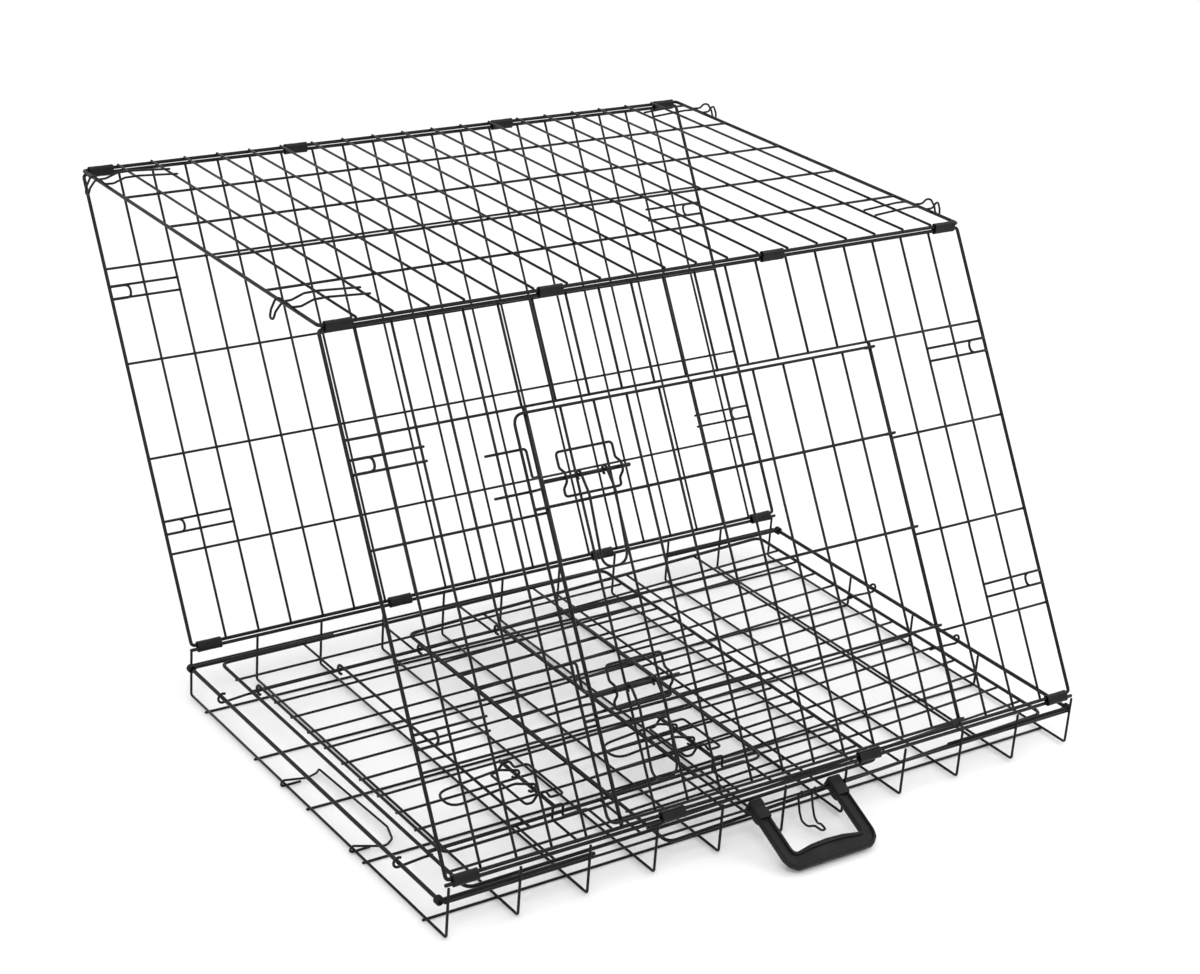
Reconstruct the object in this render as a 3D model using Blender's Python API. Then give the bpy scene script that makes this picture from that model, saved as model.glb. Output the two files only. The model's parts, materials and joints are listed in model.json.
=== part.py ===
"""A folding wire dog crate, half folded: the end panels lie on the base and the sides lean back."""

import math

import bmesh
import bpy
from mathutils import Matrix, Vector

# Driving dimensions, in metres. X runs along the front, +Y to the back, +Z up from the floor.
LENGTH = 0.910
DEPTH = 0.602
PANEL_HEIGHT = 0.604
WALL_HEIGHT = 0.068
LEAN = math.radians(30.6)

# Wires are swept squares: these are half of their thickness.
GRID_WIRE = 0.0016
RAIL_WIRE = 0.0021
HINGE_ROD = 0.0024
BAR_WIRE = 0.0018
HOOK_WIRE = 0.0014
BOLT_RADIUS = 0.0023

# How deep crossing wires are fused, the smallest free gap, and how far cut wire ends stand past a rail
WELD = 0.0004
GAP = 0.0003
STUB = 0.0012
LOW_STUB = 0.0015

# Grids
SIDE_COLUMNS = 20
SIDE_ROWS = 5
BASE_BAYS = 10
END_COLUMNS = 14
END_ROWS = 5
PITCH = LENGTH / SIDE_COLUMNS
ROW_PITCH = PANEL_HEIGHT / SIDE_ROWS
FLOOR_PITCH = 0.130
PAIR = 0.0053
COLUMN_TOP = PANEL_HEIGHT - 0.001

# Base
MID_WIRE_HEIGHT = 0.047
WALL_WIRE_TOP = 0.0664
ROD_X = 0.460
ROD_LEG = 0.200
KNOB = 0.0058
KNOB_INSET = 0.004
KNOB_OVERHANG = 0.003

# End panels, measured from their hinge rod
END_PITCH = 0.04125
END_HALF = END_PITCH * END_COLUMNS / 2
END_FOOT = 0.038
END_ROW_PITCH = 0.115
LEFT_END_TILT = math.radians(0.5)
RIGHT_END_TILT = math.radians(-2.0)
LEFT_KNUCKLE_COLUMN = 5
RIGHT_KNUCKLE_COLUMN = 2
KNUCKLE_RADIUS = 0.0060
KNUCKLE_BEND = 0.006

# Doors
FRONT_JAMB = (5, 16)
END_JAMB = 5
JAMB_WIRE = 0.0022
DOOR_OUT = 0.0056
DOOR_LAP = 0.0195
FRONT_DOOR_BARS = (0.012, 0.128, 0.251, 0.368, 0.476)
END_DOOR_BARS = (0.0475, 0.160, 0.275, 0.390, 0.488)
FRONT_LATCHES = (0.396, 0.153)
END_LATCHES = (0.428, 0.203)

# Latch, measured from the jamb (along) and the panel's plane (out)
BOLT_OUT = 0.0114
BOLT_SPAN = (-0.0035, 0.1135)
GUIDE_SPAN = (0.0235, 0.0995)
GUIDE_BELOW = 0.021
GUIDE_ABOVE = 0.030
GUIDE_BULGE = (0.005, 0.012)
EYE_ALONG = -0.0095
EYE_HALF = 0.0070
EYE_OUT = 0.0170
KEEPER_ALONG = -0.0635
KEEPER_ABOVE = 0.041
HANDLE_LEGS = (0.0435, 0.0785)
# The pull's bends below the bolt, as (out, up) from the bolt's axis
HANDLE_BENDS = ((0.0120, -0.0240), (0.0050, -0.1080))
CURL_RADIUS = 0.0049

# Hinge clips
CLIP_CENTRES = (-0.432, -0.159, 0.159, 0.432)
FRONT_LOW_CLIP_CENTRES = (-0.432, -0.159, 0.128, 0.432)
CLIP_LENGTH = 0.032
CLIP_INSIDE = 0.0033
CLIP_OUTSIDE = 0.0041

# Receivers: short pairs of wires for the end panels' latching
RECEIVER_HEIGHTS = (0.146, 0.162, 0.445, 0.461)
RECEIVER_OVERHANG = 0.003

# Hooks of the top panel
HOOK_INSET = 0.062
HOOK_START = -2.05 * PITCH
# A hook's bends as (distance past the end rail, height over its legs, half of its width)
HOOK_BENDS = (
    (HOOK_START, 0.0, 0.011),
    (-0.040, 0.0035, 0.011),
    (-0.022, 0.0030, 0.011),
    (-0.007, -0.0025, 0.011),
    (0.004, -0.0025, 0.010),
    (0.009, 0.0030, 0.009),
    (0.015, 0.0030, 0.007),
    (0.021, -0.0070, 0.005),
    (0.023, -0.0160, 0.004),
)

# Carry handle, fold hook and tray stop
CARRY_X = 0.018
CARRY_LEG = 0.058
CARRY_DROP = math.radians(25.0)
CARRY_HALF_WIDTH = 0.0080
CARRY_HALF_THICK = 0.0042
CARRY_START = 0.0053
CARRY_RING = 0.0068
CARRY_BORE = 0.0027
CARRY_RING_MARGIN = 0.001
# One half of the grip's edges as (x, distance from the wire)
CARRY_OUTER = ((0.066, CARRY_START), (0.066, 0.076), (0.062, 0.086), (0.053, 0.091))
CARRY_INNER = ((0.050, CARRY_START), (0.050, 0.068), (0.047, 0.072), (0.024, 0.0675), (0.0, 0.0660))
FOLD_HOOK_X = 0.035
FOLD_HOOK_HALF = 0.010
FOLD_HOOK_CURL = 0.0046
# The fold hook's bends as (local y, z, half of its width) from the wire that it hangs on
FOLD_HOOK_BENDS = (
    (-0.0030, -0.0230, 0.0100),
    (-0.0080, -0.0330, 0.0095),
    (-0.0170, -0.0360, 0.0075),
    (-0.0260, -0.0310, 0.0045),
    (-0.0370, -0.0320, 0.0030),
)
TRAY_STOP_YS = (0.060, -0.104)
TRAY_STOP_CURL = 0.0042
TRAY_STOP_RISE = 0.0020
# The tray stop's bends inboard of the wire that it hooks over, as (local x, y)
TRAY_STOP_BENDS = (
    (0.028, 0.056),
    (0.044, 0.061),
    (0.050, 0.068),
    (0.056, -0.083),
    (0.048, -0.108),
    (0.034, -0.118),
)


# ---- materials ----

def material(name, colour, roughness, metallic):
    found = bpy.data.materials.get(name)
    if found:
        return found
    made = bpy.data.materials.new(name)
    made.use_nodes = True
    shader = made.node_tree.nodes["Principled BSDF"]
    shader.inputs["Base Color"].default_value = (*colour, 1.0)
    shader.inputs["Roughness"].default_value = roughness
    shader.inputs["Metallic"].default_value = metallic
    return made


def coated_wire():
    return material("coated_wire", (0.012, 0.012, 0.013), 0.32, 0.0)


def coated_sheet():
    return material("coated_sheet", (0.014, 0.014, 0.015), 0.38, 0.0)


def handle_plastic():
    return material("handle_plastic", (0.018, 0.018, 0.018), 0.60, 0.0)


# ---- wires as swept sections ----

def section(across, other, half, half_other=None):
    """The four corners of a square or rectangular wire section."""
    wide = across.normalized() * half
    tall = other.normalized() * (half_other or half)
    return [wide + tall, tall - wide, -wide - tall, wide - tall]


def slid(offset, along, mitre):
    """An offset moved along a segment until it lies in the mitre plane."""
    return offset - along * (offset.dot(mitre) / along.dot(mitre))


def sweep(shape, points, offsets, closed=False):
    """Adds a mitred prism along the points; offsets are its section at the first segment."""
    points = [Vector(point) for point in points]
    count = len(points)
    along = [(points[(i + 1) % count] - points[i]).normalized() for i in range(count)]
    rings = []
    for i, point in enumerate(points):
        before = along[i - 1] if closed or i else along[0]
        after = along[i] if closed or i < count - 1 else along[count - 2]
        source = offsets if i == 0 else rings[-1][1]
        mitre = (before + after).normalized()
        ring = [slid(offset, after if i == 0 else before, mitre) for offset in source]
        rings.append((point, ring))
    vertices = [[shape.verts.new(point + offset) for offset in ring] for point, ring in rings]
    size = len(offsets)
    for i in range(count if closed else count - 1):
        one, two = vertices[i], vertices[(i + 1) % count]
        for j in range(size):
            k = (j + 1) % size
            shape.faces.new((one[j], one[k], two[k], two[j]))
    if not closed:
        shape.faces.new(list(reversed(vertices[0])))
        shape.faces.new(vertices[-1])


def wire(shape, points, half, normal=(0, 1, 0), closed=False):
    """A square wire whose faces look along normal at its first segment."""
    first = Vector(points[1]) - Vector(points[0])
    normal = Vector(normal)
    sweep(shape, points, section(first.cross(normal), normal, half), closed)


def rod(shape, start, end, radius, sides=8):
    """A straight round bar with a few sides."""
    start, end = Vector(start), Vector(end)
    axis = (end - start).normalized()
    one = axis.orthogonal().normalized()
    two = axis.cross(one)
    turns = [math.tau * (i + 0.5) / sides for i in range(sides)]
    sweep(shape, (start, end), [(one * math.cos(a) + two * math.sin(a)) * radius for a in turns])


def arc(centre, radius, start, end, steps):
    """Points of an arc in a plane, as pairs."""
    angles = [math.radians(start + (end - start) * i / steps) for i in range(steps + 1)]
    return [(centre[0] + radius * math.cos(a), centre[1] + radius * math.sin(a)) for a in angles]


def mesh_of(shape, name):
    bmesh.ops.recalc_face_normals(shape, faces=shape.faces)
    mesh = bpy.data.meshes.new(name)
    shape.to_mesh(mesh)
    shape.free()
    return mesh


def new_object(name, mesh, finish, place=None):
    mesh.materials.clear()
    mesh.materials.append(finish)
    made = bpy.data.objects.new(name, mesh)
    bpy.context.scene.collection.objects.link(made)
    if place:
        made.location = place.to_translation()
        made.rotation_euler = place.to_euler()
    return made


def fused(name, shapes, finish, place=None):
    """One object from shapes that each hold separate bodies, joined by Boolean unions."""
    made = new_object(name, mesh_of(shapes[0], name), finish, place)
    helpers = []
    for i, shape in enumerate(shapes[1:]):
        helper = new_object(f"{name}_add_{i}", mesh_of(shape, f"{name}_add_{i}"), finish, place)
        join = made.modifiers.new(f"join_{i}", "BOOLEAN")
        join.operation = "UNION"
        join.solver = "EXACT"
        join.object = helper
        helpers.append(helper)
    bpy.context.view_layer.update()
    whole = made.evaluated_get(bpy.context.evaluated_depsgraph_get())
    mesh = bpy.data.meshes.new_from_object(whole)
    made.modifiers.clear()
    made.data = mesh
    for helper in helpers:
        bpy.data.objects.remove(helper)
    return made


def single(name, shape, finish, place=None):
    return new_object(name, mesh_of(shape, name), finish, place)


# ---- panel frames: local x runs along the panel, local z up it, local -y points out of the crate ----

def side_place(side, height=WALL_HEIGHT):
    """The front (-1) or back (+1) panel's frame, on its hinge axis, leaning towards +Y."""
    along = Vector((-side, 0, 0))
    up = Vector((0, math.sin(LEAN), math.cos(LEAN)))
    return framed(along, up, Vector((0, side * DEPTH / 2, height)))


def end_place(side, tilt):
    """An end panel's frame, on its rod, lying inwards over the base."""
    along = Vector((0, side, 0))
    up = Vector((-side * math.cos(tilt), 0, math.sin(tilt)))
    return framed(along, up, Vector((side * ROD_X, 0, MID_WIRE_HEIGHT)))


def framed(along, up, origin):
    inward = up.cross(along)
    turn = Matrix((along, inward, up)).transposed()
    return Matrix.Translation(origin) @ turn.to_4x4()


def panel(x, out, height):
    return Vector((x, -out, height))


# ---- base ----

def bay_xs():
    return [LENGTH * (i / BASE_BAYS - 0.5) for i in range(BASE_BAYS + 1)]


def wall_y():
    """How far out the wall's upright wires stand."""
    return DEPTH / 2 + RAIL_WIRE + GRID_WIRE - WELD


def base_floor():
    """The floor grid; its five lengthwise wires stand on the ground."""
    cross_height = 3 * GRID_WIRE - WELD
    reach = wall_y() + GRID_WIRE
    cross = bmesh.new()
    for x in bay_xs():
        wire(cross, [(x, reach, cross_height), (x, -reach, cross_height)], GRID_WIRE, (1, 0, 0))
    along = bmesh.new()
    end = LENGTH / 2 + 2 * GRID_WIRE
    post = ROD_X + GRID_WIRE
    for row in range(-2, 3):
        y = row * FLOOR_PITCH
        reach_x = post if abs(row) < 2 else end
        wire(along, [(-end, y, GRID_WIRE), (reach_x, y, GRID_WIRE)], GRID_WIRE)
    fused("base_floor", [cross, along], coated_wire())


def base_posts():
    """Three short uprights at the plain end that rise from the floor to just under the hinge rod."""
    for i in range(3):
        y = (i - 1) * FLOOR_PITCH
        post = bmesh.new()
        low, high = 2 * GRID_WIRE, MID_WIRE_HEIGHT - HINGE_ROD - GAP
        wire(post, [(ROD_X, y, low), (ROD_X, y, high)], GRID_WIRE)
        single(f"base_post_{i + 1}", post, coated_wire())


def base_wall(name, side):
    """One long wall: uprights that rise from the floor's cross wires, a middle wire and a rail."""
    uprights = bmesh.new()
    low = 4 * GRID_WIRE - WELD
    y = side * wall_y()
    for x in bay_xs():
        wire(uprights, [(x, y, low), (x, y, WALL_WIRE_TOP)], GRID_WIRE)
    along = bmesh.new()
    end = LENGTH / 2 + 2 * GRID_WIRE
    mid_y = side * (wall_y() - 2 * GRID_WIRE + WELD)
    wire(along, [(-end, mid_y, MID_WIRE_HEIGHT), (end, mid_y, MID_WIRE_HEIGHT)], GRID_WIRE)
    rail_y = side * DEPTH / 2
    wire(along, [(-end, rail_y, WALL_HEIGHT), (end, rail_y, WALL_HEIGHT)], RAIL_WIRE)
    fused(name, [uprights, along], coated_wire())


def end_rod(name, side):
    """The U-shaped rod that an end panel swings on, with its legs along the walls."""
    leg_y = DEPTH / 2 - GRID_WIRE - HINGE_ROD - GRID_WIRE
    x, inner = side * ROD_X, side * (ROD_X - ROD_LEG)
    rods = bmesh.new()
    path = [
        (inner, leg_y, MID_WIRE_HEIGHT),
        (x, leg_y, MID_WIRE_HEIGHT),
        (x, -leg_y, MID_WIRE_HEIGHT),
        (inner, -leg_y, MID_WIRE_HEIGHT),
    ]
    wire(rods, path, HINGE_ROD, (0, 0, 1))
    knobs = bmesh.new()
    for y in (leg_y, -leg_y):
        centre_x = x + side * 0.001
        inner_y, outer_y = y - math.copysign(KNOB_INSET, y), y + math.copysign(KNOB_OVERHANG, y)
        rod(knobs, (centre_x, inner_y, MID_WIRE_HEIGHT), (centre_x, outer_y, MID_WIRE_HEIGHT), KNOB)
    fused(name, [rods, knobs], coated_wire())


# ---- side and top panels ----

def rectangle(half, low, high):
    return [panel(-half, 0, low), panel(half, 0, low), panel(half, 0, high), panel(-half, 0, high)]


def column_x(k):
    return (k - SIDE_COLUMNS / 2) * PITCH


def side_panel(name, side, jambs=None):
    """A side panel; with jambs it has a door opening under its first row."""
    inside = -(RAIL_WIRE + GRID_WIRE - WELD)
    sill = PAIR
    head = PANEL_HEIGHT - ROW_PITCH
    half = LENGTH / 2
    frame = bmesh.new()
    wire(frame, rectangle(half, sill, PANEL_HEIGHT), RAIL_WIRE, closed=True)
    rows = bmesh.new()
    spans = [(-half, half)]
    if jambs:
        left, right = (column_x(k) for k in jambs)
        spans = [(-half, left), (right, half)]
    for i in range(1, SIDE_ROWS):
        height = i * ROW_PITCH
        for low, high in spans if height < head - GAP else [(-half, half)]:
            wire(rows, [panel(low, 0, height), panel(high, 0, height)], GRID_WIRE)
    for height in RECEIVER_HEIGHTS:
        for end in (-1, 1):
            ends = [end * half, end * (half - 2 * PITCH - RECEIVER_OVERHANG)]
            wire(rows, [panel(x, 0, height) for x in ends], GRID_WIRE)
    columns = bmesh.new()
    for k in range(1, SIDE_COLUMNS):
        low = sill - LOW_STUB
        if jambs and jambs[0] <= k <= jambs[1]:
            low = head - LOW_STUB
        x = column_x(k)
        wire(columns, [panel(x, inside, low), panel(x, inside, COLUMN_TOP)], GRID_WIRE)
    shapes = [frame, rows, columns]
    if jambs:
        posts = bmesh.new()
        for k in jambs:
            wire(posts, [panel(column_x(k), 0, sill), panel(column_x(k), 0, head)], JAMB_WIRE)
        shapes.insert(1, posts)
    fused(name, shapes, coated_wire(), side_place(side))


def top_place():
    y = PANEL_HEIGHT * math.sin(LEAN)
    return Matrix.Translation((0, y, WALL_HEIGHT + PANEL_HEIGHT * math.cos(LEAN)))


def top_panel():
    half = LENGTH / 2
    deep = DEPTH / 2
    frame = bmesh.new()
    corners = [(-half, -deep, PAIR), (half, -deep, PAIR), (half, deep, PAIR), (-half, deep, PAIR)]
    wire(frame, corners, RAIL_WIRE, (0, 0, 1), closed=True)
    rows = bmesh.new()
    for i in range(1, SIDE_ROWS):
        y = DEPTH * (i / SIDE_ROWS - 0.5)
        wire(rows, [(-half, y, PAIR), (half, y, PAIR)], GRID_WIRE)
    columns = bmesh.new()
    above = PAIR + RAIL_WIRE + GRID_WIRE - WELD
    reach = deep + STUB
    for k in range(1, SIDE_COLUMNS):
        ends = [(column_x(k), -reach, above), (column_x(k), reach, above)]
        wire(columns, ends, GRID_WIRE, (0, 0, 1))
    fused("top_panel", [frame, rows, columns], coated_wire(), top_place())


def top_hook(name, end, side):
    """A hairpin over the end rail of the top, with its loop hanging outboard."""
    half = LENGTH / 2
    low = PAIR + RAIL_WIRE + 2 * GRID_WIRE - WELD + GAP + HOOK_WIRE
    middle = side * (DEPTH / 2 - HOOK_INSET)
    there = [(end * (half + past), middle - width, low + rise) for past, rise, width in HOOK_BENDS]
    back = [(x, 2 * middle - y, z) for x, y, z in reversed(there)]
    shape = bmesh.new()
    wire(shape, there + back, HOOK_WIRE, (0, 1, 0))
    single(name, shape, coated_wire(), top_place())


# ---- hinge clips ----

def clip(name, x, place):
    """A flat sheet band around two rails, one on the local x axis and one a pair's distance above."""
    def outline(radius):
        steps = 4
        low = arc((0, 0), radius, 180, 360, steps)
        high = arc((0, PAIR), radius, 0, 180, steps)
        return low + high
    lines = (outline(CLIP_OUTSIDE), outline(CLIP_INSIDE))
    shape = bmesh.new()
    ends = [x - CLIP_LENGTH / 2, x + CLIP_LENGTH / 2]
    (outer_a, inner_a), (outer_b, inner_b) = [
        [[shape.verts.new((at, y, z)) for y, z in line] for line in lines] for at in ends
    ]
    band(shape, outer_a, inner_a, outer_b, inner_b)
    single(name, shape, coated_sheet(), place)


def hinge_clips():
    half_depth = Matrix.Translation((0, DEPTH / 2, 0))
    places = {
        "front_low": side_place(-1),
        "back_low": side_place(1),
        "front_high": top_place() @ half_depth.inverted(),
        "back_high": top_place() @ half_depth,
    }
    for edge, place in places.items():
        centres = FRONT_LOW_CLIP_CENTRES if edge == "front_low" else CLIP_CENTRES
        for i, x in enumerate(centres):
            clip(f"hinge_clip_{edge}_{i + 1}", x, place)


# ---- end panels ----

def knuckle_path(x, inside):
    """A wire from a panel's foot rail that curls round the rod on the panel's hinge axis."""
    foot = [panel(x, inside, END_FOOT + KNUCKLE_BEND), panel(x, inside, END_FOOT - KNUCKLE_BEND)]
    curl = arc((0, 0), KNUCKLE_RADIUS, 180, 395, 6)
    return foot + [panel(x, out, height) for out, height in curl]


def end_panel(name, side, tilt, knuckle_column, door):
    inside = -(RAIL_WIRE + GRID_WIRE - WELD)
    head = END_FOOT + (END_ROWS - 1) * END_ROW_PITCH
    top = END_FOOT + END_ROWS * END_ROW_PITCH
    frame = bmesh.new()
    wire(frame, rectangle(END_HALF, END_FOOT, top), RAIL_WIRE, closed=True)
    jamb = END_JAMB * END_PITCH
    rows = bmesh.new()
    for i in range(1, END_ROWS):
        height = END_FOOT + i * END_ROW_PITCH
        spans = [(-END_HALF, END_HALF)]
        if door and height < head - GAP:
            spans = [(-END_HALF, -jamb), (jamb, END_HALF)]
        for low, high in spans:
            wire(rows, [panel(low, 0, height), panel(high, 0, height)], GRID_WIRE)
    columns = bmesh.new()
    for k in range(1 - END_COLUMNS // 2, END_COLUMNS // 2):
        x = k * END_PITCH
        low = END_FOOT - LOW_STUB
        if door and abs(k) <= END_JAMB:
            low = head - LOW_STUB
        wire(columns, [panel(x, inside, low), panel(x, inside, top + STUB)], GRID_WIRE)
    knuckles = bmesh.new()
    for end in (-1, 1):
        x = end * (knuckle_column * END_PITCH + 2 * GRID_WIRE - WELD)
        wire(knuckles, knuckle_path(x, inside), GRID_WIRE, (1, 0, 0))
    shapes = [frame, rows, columns, knuckles]
    if door:
        posts = bmesh.new()
        for x in (-jamb, jamb):
            wire(posts, [panel(x, 0, END_FOOT), panel(x, 0, head)], JAMB_WIRE)
        shapes.insert(1, posts)
    fused(name, shapes, coated_wire(), end_place(side, tilt))


# ---- doors ----

def door(name, place, hinge_x, free_x, bars, columns):
    """A wire door hung on the jamb at hinge_x, lapping the jamb at free_x on the outside."""
    away = math.copysign(1, free_x - hinge_x)
    edge = free_x + away * DOOR_LAP
    inner = DOOR_OUT - BAR_WIRE - GRID_WIRE + WELD
    curl = [(hinge_x - away * a, out) for a, out in arc((0, 0), DOOR_OUT, 90, -130, 6)]
    top, bottom = max(bars), min(bars)

    def curled(height):
        return [panel(x, out, height) for x, out in curl]

    outline = bmesh.new()
    corners = [panel(edge, DOOR_OUT, top), panel(edge, DOOR_OUT, bottom)]
    path = list(reversed(curled(top))) + corners + curled(bottom)
    wire(outline, path, BAR_WIRE, (0, 0, 1))
    middle = bmesh.new()
    for height in bars:
        if bottom < height < top:
            wire(middle, [panel(edge, DOOR_OUT, height)] + curled(height), BAR_WIRE, (0, 0, 1))
    uprights = bmesh.new()
    for x in columns:
        wire(uprights, [panel(x, inner, bottom - STUB), panel(x, inner, top + STUB)], GRID_WIRE)
    fused(name, [outline, middle, uprights], coated_wire(), place)


def latch(prefix, place, jamb_x, away, height):
    """A bolt with its swing handle, its guide on the door and its keeper on the panel.

    away is +1 or -1: the way along the panel from the jamb to the door's middle."""
    def at(along, out, up):
        return panel(jamb_x + away * along, out, height + up)

    bar = bmesh.new()
    rod(bar, at(BOLT_SPAN[0], BOLT_OUT, 0), at(BOLT_SPAN[1], BOLT_OUT, 0), BOLT_RADIUS)
    single(f"{prefix}_bolt", bar, coated_wire(), place)

    low_out = DOOR_OUT - BAR_WIRE + WELD + GAP + GRID_WIRE
    high_out = BOLT_OUT + BOLT_RADIUS + 2 * GAP + GRID_WIRE
    near, far = GUIDE_SPAN
    crest, foot = GUIDE_BULGE
    bulge = [(-GUIDE_BELOW, low_out), (-foot, low_out), (-crest, high_out)]
    bulge += [(crest, high_out), (foot, low_out), (GUIDE_ABOVE, low_out)]
    loop = [at(near, out, up) for up, out in bulge] + [at(far, out, up) for up, out in reversed(bulge)]
    guide = bmesh.new()
    wire(guide, loop, GRID_WIRE, (1, 0, 0), closed=True)
    single(f"{prefix}_guide", guide, coated_wire(), place)

    staple = bmesh.new()
    path = [
        at(KEEPER_ALONG, 0, KEEPER_ABOVE),
        at(EYE_ALONG, 0, KEEPER_ABOVE),
        at(EYE_ALONG, 0, EYE_HALF),
        at(EYE_ALONG, EYE_OUT, EYE_HALF),
        at(EYE_ALONG, EYE_OUT, -EYE_HALF),
        at(EYE_ALONG, 0, -EYE_HALF),
        at(KEEPER_ALONG, 0, -EYE_HALF),
    ]
    wire(staple, path, GRID_WIRE, (0, 1, 0))
    single(f"{prefix}_keeper", staple, coated_wire(), place)

    leg = arc((BOLT_OUT, 0), CURL_RADIUS, 250, 0, 6)
    leg += [(BOLT_OUT + out, up) for out, up in HANDLE_BENDS]
    one, two = HANDLE_LEGS
    path = [at(one, out, up) for out, up in leg]
    path += [at(two, out, up) for out, up in reversed(leg)]
    handle = bmesh.new()
    wire(handle, path, GRID_WIRE, (1, 0, 0))
    single(f"{prefix}_handle", handle, coated_wire(), place)


# ---- carry handle, fold hook and tray stop ----

def front_wire_place():
    y = -(DEPTH / 2 + RAIL_WIRE - GRID_WIRE)
    return Matrix.Translation((0, y, MID_WIRE_HEIGHT))


def carry_handle():
    """A plastic grip that swings on the front wall's lower wire; local -y is outwards."""
    def at(x, reach, lift):
        y = -reach * math.cos(CARRY_DROP) - lift * math.sin(CARRY_DROP)
        z = -reach * math.sin(CARRY_DROP) + lift * math.cos(CARRY_DROP)
        return (CARRY_X + x, y, z)

    outer = list(CARRY_OUTER) + [(-x, reach) for x, reach in reversed(CARRY_OUTER)]
    inner = [(-x, reach) for x, reach in CARRY_INNER] + list(reversed(CARRY_INNER[:-1]))
    grip = bmesh.new()
    low, high = [
        [grip.verts.new(at(x, reach, lift)) for x, reach in outer + inner]
        for lift in (-CARRY_HALF_THICK, CARRY_HALF_THICK)
    ]
    count = len(low)
    for i in range(count):
        j = (i + 1) % count
        grip.faces.new((low[i], low[j], high[j], high[i]))
    grip.faces.new(list(reversed(low)))
    grip.faces.new(high)
    rings = bmesh.new()
    half = CARRY_HALF_WIDTH + CARRY_RING_MARGIN
    for x in (-CARRY_LEG, CARRY_LEG):
        ring_around_x(rings, CARRY_X + x - half, CARRY_X + x + half, CARRY_BORE, CARRY_RING)
    fused("carry_handle", [grip, rings], handle_plastic(), front_wire_place())


def ring_around_x(shape, low, high, bore, outside, sides=8):
    """A short tube on the local x axis, with its bore round the outside of a wire."""
    last = 360 * (1 - 1 / sides)
    lines = (
        arc((0, 0), outside, 0, last, sides - 1),
        arc((0, 0), bore / math.cos(math.pi / sides), 0, last, sides - 1),
    )
    (outer_a, inner_a), (outer_b, inner_b) = [
        [[shape.verts.new((x, y, z)) for y, z in line] for line in lines] for x in (low, high)
    ]
    band(shape, outer_a, inner_a, outer_b, inner_b)


def band(shape, outer_a, inner_a, outer_b, inner_b):
    """The faces of a tube wall between its two end outlines."""
    count = len(outer_a)
    for i in range(count):
        j = (i + 1) % count
        shape.faces.new((outer_a[i], outer_a[j], outer_b[j], outer_b[i]))
        shape.faces.new((inner_a[j], inner_a[i], inner_b[i], inner_b[j]))
        shape.faces.new((outer_a[j], outer_a[i], inner_a[i], inner_a[j]))
        shape.faces.new((outer_b[i], outer_b[j], inner_b[j], inner_b[i]))


def fold_hook():
    """A hairpin hung on the front wall's lower wire, with its wavy tip outwards."""
    curl = arc((0, 0), FOLD_HOOK_CURL, 110, 300, 5)
    profile = [(y, z, FOLD_HOOK_HALF) for y, z in curl] + list(FOLD_HOOK_BENDS)
    there = [(FOLD_HOOK_X - half, y, z) for y, z, half in profile]
    back = [(FOLD_HOOK_X + half, y, z) for y, z, half in reversed(profile)]
    shape = bmesh.new()
    wire(shape, there + back, HOOK_WIRE, (1, 0, 0))
    single("fold_hook", shape, coated_wire(), front_wire_place())


def tray_stop():
    """A U of wire that hooks over the left floor wire and lies inboard."""
    hook = arc((0, 0), TRAY_STOP_CURL, 215, 80, 4)
    near, far = TRAY_STOP_YS
    there = [(x, near, z) for x, z in hook]
    back = [(x, far, z) for x, z in reversed(hook)]
    bends = [(x, y, TRAY_STOP_RISE) for x, y in TRAY_STOP_BENDS]
    shape = bmesh.new()
    wire(shape, there + bends + back, HOOK_WIRE, (0, 1, 0))
    axis_height = 3 * GRID_WIRE - WELD
    single("tray_stop", shape, coated_wire(), Matrix.Translation((-LENGTH / 2, 0, axis_height)))


def clear_scene():
    for old in list(bpy.data.objects):
        bpy.data.objects.remove(old)


def main():
    clear_scene()
    base_floor()
    base_posts()
    base_wall("base_front_wall", -1)
    base_wall("base_back_wall", 1)
    end_rod("left_end_rod", -1)
    end_rod("right_end_rod", 1)
    side_panel("front_panel", -1, FRONT_JAMB)
    side_panel("back_panel", 1)
    top_panel()
    for end, side, name in ((-1, -1, "left_front"), (-1, 1, "left_back"),
                            (1, -1, "right_front"), (1, 1, "right_back")):
        top_hook(f"top_hook_{name}", end, side)
    hinge_clips()
    end_panel("left_end_panel", -1, LEFT_END_TILT, LEFT_KNUCKLE_COLUMN, True)
    end_panel("right_end_panel", 1, RIGHT_END_TILT, RIGHT_KNUCKLE_COLUMN, False)
    free, hinge = (column_x(k) for k in FRONT_JAMB)
    inner_columns = [column_x(k) for k in range(FRONT_JAMB[0] + 1, FRONT_JAMB[1])]
    door("front_door", side_place(-1), hinge, free, FRONT_DOOR_BARS, inner_columns)
    for label, height in zip(("upper", "lower"), FRONT_LATCHES):
        latch(f"front_{label}_latch", side_place(-1), free, 1, height)
    jamb = END_JAMB * END_PITCH
    left_place = end_place(-1, LEFT_END_TILT)
    inner_columns = [k * END_PITCH for k in range(1 - END_JAMB, END_JAMB)]
    door("end_door", left_place, -jamb, jamb, END_DOOR_BARS, inner_columns)
    for label, height in zip(("upper", "lower"), END_LATCHES):
        latch(f"end_{label}_latch", left_place, jamb, -1, height)
    carry_handle()
    fold_hook()
    tray_stop()


main()
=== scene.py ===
"""The looks of a folding wire dog crate: round coated wires, crimped clips, a moulded handle and a studio."""

import json
import math

import bmesh
import bpy
import numpy as np
from mathutils import Matrix, Vector


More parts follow.
